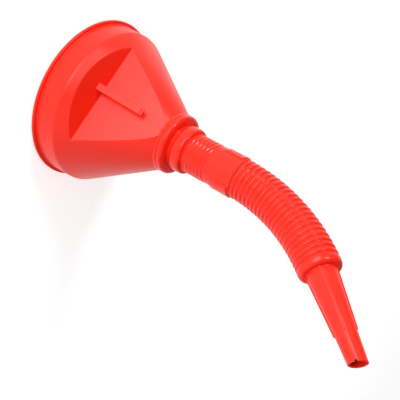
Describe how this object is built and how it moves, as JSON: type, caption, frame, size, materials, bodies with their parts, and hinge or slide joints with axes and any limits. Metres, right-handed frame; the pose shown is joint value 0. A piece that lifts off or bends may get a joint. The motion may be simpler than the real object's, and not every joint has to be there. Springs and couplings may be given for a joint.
{
  "type": "flexible spout funnel",
  "caption": "Wide-mouthed plastic funnel with a hanging hook, a lift-out strainer and a corrugated spout that swivels, bends and ends in a slim tapered tip.",
  "frame": {"origin": "centre of the rim face, on the axis of the mouth", "axes": "+Z along the funnel axis from the mouth to the spout; -Y towards the hanging hook; the stored bend of the spout leans towards +X and slightly -Y"},
  "size_m": [0.1578, 0.15, 0.3334],
  "materials": {
    "bowl_plastic": "satin moulded red polypropylene",
    "spout_plastic": "satin moulded red polyethylene, flexible",
    "strainer_plastic": "moulded red polypropylene",
    "gauze_metal": "fine woven gauze"
  },
  "bodies": {
    "bowl": {"bowl": "bowl_plastic"},
    "strainer": {"strainer_frame": "strainer_plastic", "strainer_gauze": "gauze_metal"},
    "spout_base": {"spout_socket": "spout_plastic"},
    "hose_ring_01": {"hose_ring_01": "spout_plastic"},
    "hose_ring_02": {"hose_ring_02": "spout_plastic"},
    "hose_ring_03": {"hose_ring_03": "spout_plastic"},
    "hose_ring_04": {"hose_ring_04": "spout_plastic"},
    "hose_ring_05": {"hose_ring_05": "spout_plastic"},
    "hose_ring_06": {"hose_ring_06": "spout_plastic"},
    "hose_ring_07": {"hose_ring_07": "spout_plastic"},
    "hose_ring_08": {"hose_ring_08": "spout_plastic"},
    "hose_ring_09": {"hose_ring_09": "spout_plastic"},
    "hose_ring_10": {"hose_ring_10": "spout_plastic"},
    "hose_ring_11": {"hose_ring_11": "spout_plastic"},
    "hose_ring_12": {"hose_ring_12": "spout_plastic"},
    "hose_ring_13": {"hose_ring_13": "spout_plastic"},
    "hose_ring_14": {"hose_ring_14": "spout_plastic"},
    "hose_ring_15": {"hose_ring_15": "spout_plastic"},
    "hose_ring_16": {"hose_ring_16": "spout_plastic"},
    "hose_ring_17": {"hose_ring_17": "spout_plastic"},
    "hose_ring_18": {"hose_ring_18": "spout_plastic"},
    "hose_ring_19": {"hose_ring_19": "spout_plastic"},
    "hose_ring_20": {"hose_ring_20": "spout_plastic"},
    "hose_ring_21": {"hose_ring_21": "spout_plastic"},
    "hose_ring_22": {"hose_ring_22": "spout_plastic"},
    "spout_tip": {"spout_tip": "spout_plastic"}
  },
  "joints": [
    {"name": "strainer_lift", "type": "slide", "parent": "bowl", "child": "strainer", "axis": [0, 0, -1], "range_m": [0, 0.06]},
    {"name": "spout_swivel", "type": "hinge", "parent": "bowl", "child": "spout_base", "pos_m": [0, 0, 0.1094], "axis": [0, 0, 1], "continuous": true},
    {"name": "hose_bend_01", "type": "hinge", "parent": "spout_base", "child": "hose_ring_01", "pos_m": [0, 0, 0.16835], "axis": [0.3322, 0.9432, 0], "range_deg": [-1.82, 2.04]},
    {"name": "hose_bend_02", "type": "hinge", "parent": "hose_ring_01", "child": "hose_ring_02", "pos_m": [0.00015, -0.00005, 0.1732], "axis": [0.3322, 0.9432, 0], "range_deg": [-1.81, 2.02]},
    {"name": "hose_bend_03", "type": "hinge", "parent": "hose_ring_02", "child": "hose_ring_03", "pos_m": [0.00044, -0.00015, 0.17804], "axis": [0.3322, 0.9432, 0], "range_deg": [-1.79, 2]},
    {"name": "hose_bend_04", "type": "hinge", "parent": "hose_ring_03", "child": "hose_ring_04", "pos_m": [0.00087, -0.00031, 0.18287], "axis": [0.3322, 0.9432, 0], "range_deg": [-1.77, 1.98]},
    {"name": "hose_bend_05", "type": "hinge", "parent": "hose_ring_04", "child": "hose_ring_05", "pos_m": [0.00144, -0.00051, 0.18768], "axis": [0.3322, 0.9432, 0], "range_deg": [-1.76, 1.96]},
    {"name": "hose_bend_06", "type": "hinge", "parent": "hose_ring_05", "child": "hose_ring_06", "pos_m": [0.00215, -0.00076, 0.19247], "axis": [0.3322, 0.9432, 0], "range_deg": [-1.74, 1.94]},
    {"name": "hose_bend_07", "type": "hinge", "parent": "hose_ring_06", "child": "hose_ring_07", "pos_m": [0.003, -0.00106, 0.19723], "axis": [0.3322, 0.9432, 0], "range_deg": [-1.73, 1.93]},
    {"name": "hose_bend_08", "type": "hinge", "parent": "hose_ring_07", "child": "hose_ring_08", "pos_m": [0.00399, -0.0014, 0.20197], "axis": [0.3322, 0.9432, 0], "range_deg": [-1.71, 1.91]},
    {"name": "hose_bend_09", "type": "hinge", "parent": "hose_ring_08", "child": "hose_ring_09", "pos_m": [0.0051, -0.0018, 0.20667], "axis": [0.3322, 0.9432, 0], "range_deg": [-1.69, 1.89]},
    {"name": "hose_bend_10", "type": "hinge", "parent": "hose_ring_09", "child": "hose_ring_10", "pos_m": [0.00635, -0.00224, 0.21134], "axis": [0.3322, 0.9432, 0], "range_deg": [-1.68, 1.87]},
    {"name": "hose_bend_11", "type": "hinge", "parent": "hose_ring_10", "child": "hose_ring_11", "pos_m": [0.00773, -0.00272, 0.21597], "axis": [0.3322, 0.9432, 0], "range_deg": [-1.66, 1.85]},
    {"name": "hose_bend_12", "type": "hinge", "parent": "hose_ring_11", "child": "hose_ring_12", "pos_m": [0.00923, -0.00325, 0.22055], "axis": [0.3322, 0.9432, 0], "range_deg": [-1.64, 1.83]},
    {"name": "hose_bend_13", "type": "hinge", "parent": "hose_ring_12", "child": "hose_ring_13", "pos_m": [0.01085, -0.00382, 0.22508], "axis": [0.3322, 0.9432, 0], "range_deg": [-1.63, 1.82]},
    {"name": "hose_bend_14", "type": "hinge", "parent": "hose_ring_13", "child": "hose_ring_14", "pos_m": [0.0126, -0.00444, 0.22956], "axis": [0.3322, 0.9432, 0], "range_deg": [-1.61, 1.8]},
    {"name": "hose_bend_15", "type": "hinge", "parent": "hose_ring_14", "child": "hose_ring_15", "pos_m": [0.01446, -0.00509, 0.23399], "axis": [0.3322, 0.9432, 0], "range_deg": [-1.59, 1.78]},
    {"name": "hose_bend_16", "type": "hinge", "parent": "hose_ring_15", "child": "hose_ring_16", "pos_m": [0.01644, -0.00579, 0.23836], "axis": [0.3322, 0.9432, 0], "range_deg": [-1.58, 1.76]},
    {"name": "hose_bend_17", "type": "hinge", "parent": "hose_ring_16", "child": "hose_ring_17", "pos_m": [0.01853, -0.00653, 0.24268], "axis": [0.3322, 0.9432, 0], "range_deg": [-1.56, 1.74]},
    {"name": "hose_bend_18", "type": "hinge", "parent": "hose_ring_17", "child": "hose_ring_18", "pos_m": [0.02074, -0.0073, 0.24693], "axis": [0.3322, 0.9432, 0], "range_deg": [-1.54, 1.72]},
    {"name": "hose_bend_19", "type": "hinge", "parent": "hose_ring_18", "child": "hose_ring_19", "pos_m": [0.02305, -0.00812, 0.25112], "axis": [0.3322, 0.9432, 0], "range_deg": [-1.53, 1.71]},
    {"name": "hose_bend_20", "type": "hinge", "parent": "hose_ring_19", "child": "hose_ring_20", "pos_m": [0.02546, -0.00897, 0.25523], "axis": [0.3322, 0.9432, 0], "range_deg": [-1.51, 1.69]},
    {"name": "hose_bend_21", "type": "hinge", "parent": "hose_ring_20", "child": "hose_ring_21", "pos_m": [0.02798, -0.00985, 0.25929], "axis": [0.3322, 0.9432, 0], "range_deg": [-1.5, 1.67]},
    {"name": "hose_bend_22", "type": "hinge", "parent": "hose_ring_21", "child": "hose_ring_22", "pos_m": [0.03059, -0.01077, 0.26327], "axis": [0.3322, 0.9432, 0], "range_deg": [-1.48, 1.65]},
    {"name": "hose_bend_23", "type": "hinge", "parent": "hose_ring_22", "child": "spout_tip", "pos_m": [0.0333, -0.01173, 0.26717], "axis": [0.3322, 0.9432, 0], "range_deg": [-1.46, 1.63]}
  ],
  "couplings": [
    {"joint": "hose_bend_02", "follows": "hose_bend_01", "ratio": 0.99099},
    {"joint": "hose_bend_03", "follows": "hose_bend_01", "ratio": 0.98198},
    {"joint": "hose_bend_04", "follows": "hose_bend_01", "ratio": 0.97297},
    {"joint": "hose_bend_05", "follows": "hose_bend_01", "ratio": 0.96396},
    {"joint": "hose_bend_06", "follows": "hose_bend_01", "ratio": 0.95495},
    {"joint": "hose_bend_07", "follows": "hose_bend_01", "ratio": 0.94595},
    {"joint": "hose_bend_08", "follows": "hose_bend_01", "ratio": 0.93694},
    {"joint": "hose_bend_10", "follows": "hose_bend_09", "ratio": 0.99029},
    {"joint": "hose_bend_11", "follows": "hose_bend_09", "ratio": 0.98058},
    {"joint": "hose_bend_12", "follows": "hose_bend_09", "ratio": 0.97087},
    {"joint": "hose_bend_13", "follows": "hose_bend_09", "ratio": 0.96117},
    {"joint": "hose_bend_14", "follows": "hose_bend_09", "ratio": 0.95146},
    {"joint": "hose_bend_15", "follows": "hose_bend_09", "ratio": 0.94175},
    {"joint": "hose_bend_17", "follows": "hose_bend_16", "ratio": 0.98958},
    {"joint": "hose_bend_18", "follows": "hose_bend_16", "ratio": 0.97917},
    {"joint": "hose_bend_19", "follows": "hose_bend_16", "ratio": 0.96875},
    {"joint": "hose_bend_20", "follows": "hose_bend_16", "ratio": 0.95833},
    {"joint": "hose_bend_21", "follows": "hose_bend_16", "ratio": 0.94792},
    {"joint": "hose_bend_22", "follows": "hose_bend_16", "ratio": 0.9375},
    {"joint": "hose_bend_23", "follows": "hose_bend_16", "ratio": 0.92708}
  ]
}
